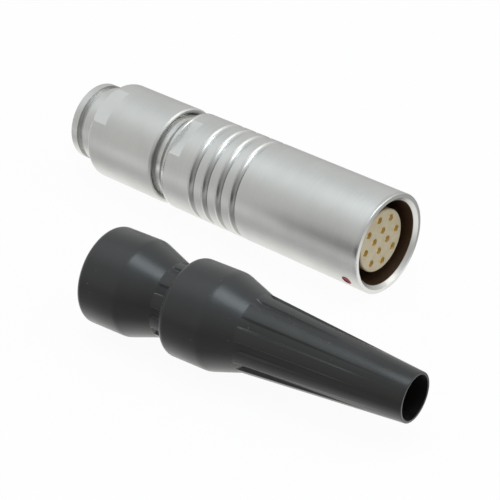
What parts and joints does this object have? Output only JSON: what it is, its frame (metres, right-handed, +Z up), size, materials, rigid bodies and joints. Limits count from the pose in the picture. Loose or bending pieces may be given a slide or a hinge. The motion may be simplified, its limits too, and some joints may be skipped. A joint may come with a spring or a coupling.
{
  "type": "circular connector",
  "caption": "Round in-line push-pull socket connector with a keyed mouth, gold socket contacts and a collet nut, and its tapered bend-relief boot beside it.",
  "frame": {"origin": "centre of the mating mouth, in the plane of its front rim", "axes": "+X along the connector's axis out of the mouth, +Z up as the connector and its boot lie on a table"},
  "size_m": [0.0862, 0.0477, 0.016],
  "materials": {
    "satin_chrome": "satin",
    "bright_chrome": "gloss",
    "plated_brass": "satin",
    "gold_contact": "gloss",
    "cream_plastic": "satin",
    "red_paint": "gloss",
    "black_rubber": "matte"
  },
  "bodies": {
    "connector": {"shell": "satin_chrome", "key_mark": "red_paint", "inner_body": "bright_chrome", "insulator_front": "cream_plastic", "insulator_rear": "cream_plastic", "retaining_ring": "plated_brass", "earthing_crown": "plated_brass", "carrier_upper": "plated_brass", "carrier_lower": "plated_brass", "boot": "black_rubber", "contact_outer_1": "gold_contact", "contact_outer_2": "gold_contact", "contact_outer_3": "gold_contact", "contact_outer_4": "gold_contact", "contact_outer_5": "gold_contact", "contact_outer_6": "gold_contact", "contact_outer_7": "gold_contact", "contact_outer_8": "gold_contact", "contact_inner_1": "gold_contact", "contact_inner_2": "gold_contact", "contact_inner_3": "gold_contact", "contact_inner_4": "gold_contact"},
    "collet": {"collet": "plated_brass"},
    "nut": {"collet_nut": "satin_chrome"}
  },
  "joints": [
    {"name": "collet_slide", "type": "slide", "parent": "connector", "child": "collet", "axis": [1, 0, 0], "range_m": [-0.00301, 0.00236]},
    {"name": "nut_turn", "type": "hinge", "parent": "collet", "child": "nut", "pos_m": [-0.0485, 0, 0], "axis": [1, 0, 0], "range_deg": [-1080, 846]}
  ],
  "couplings": [
    {"joint": "collet_slide", "follows": "nut_turn", "m_per_rad": 0.00015915}
  ]
}
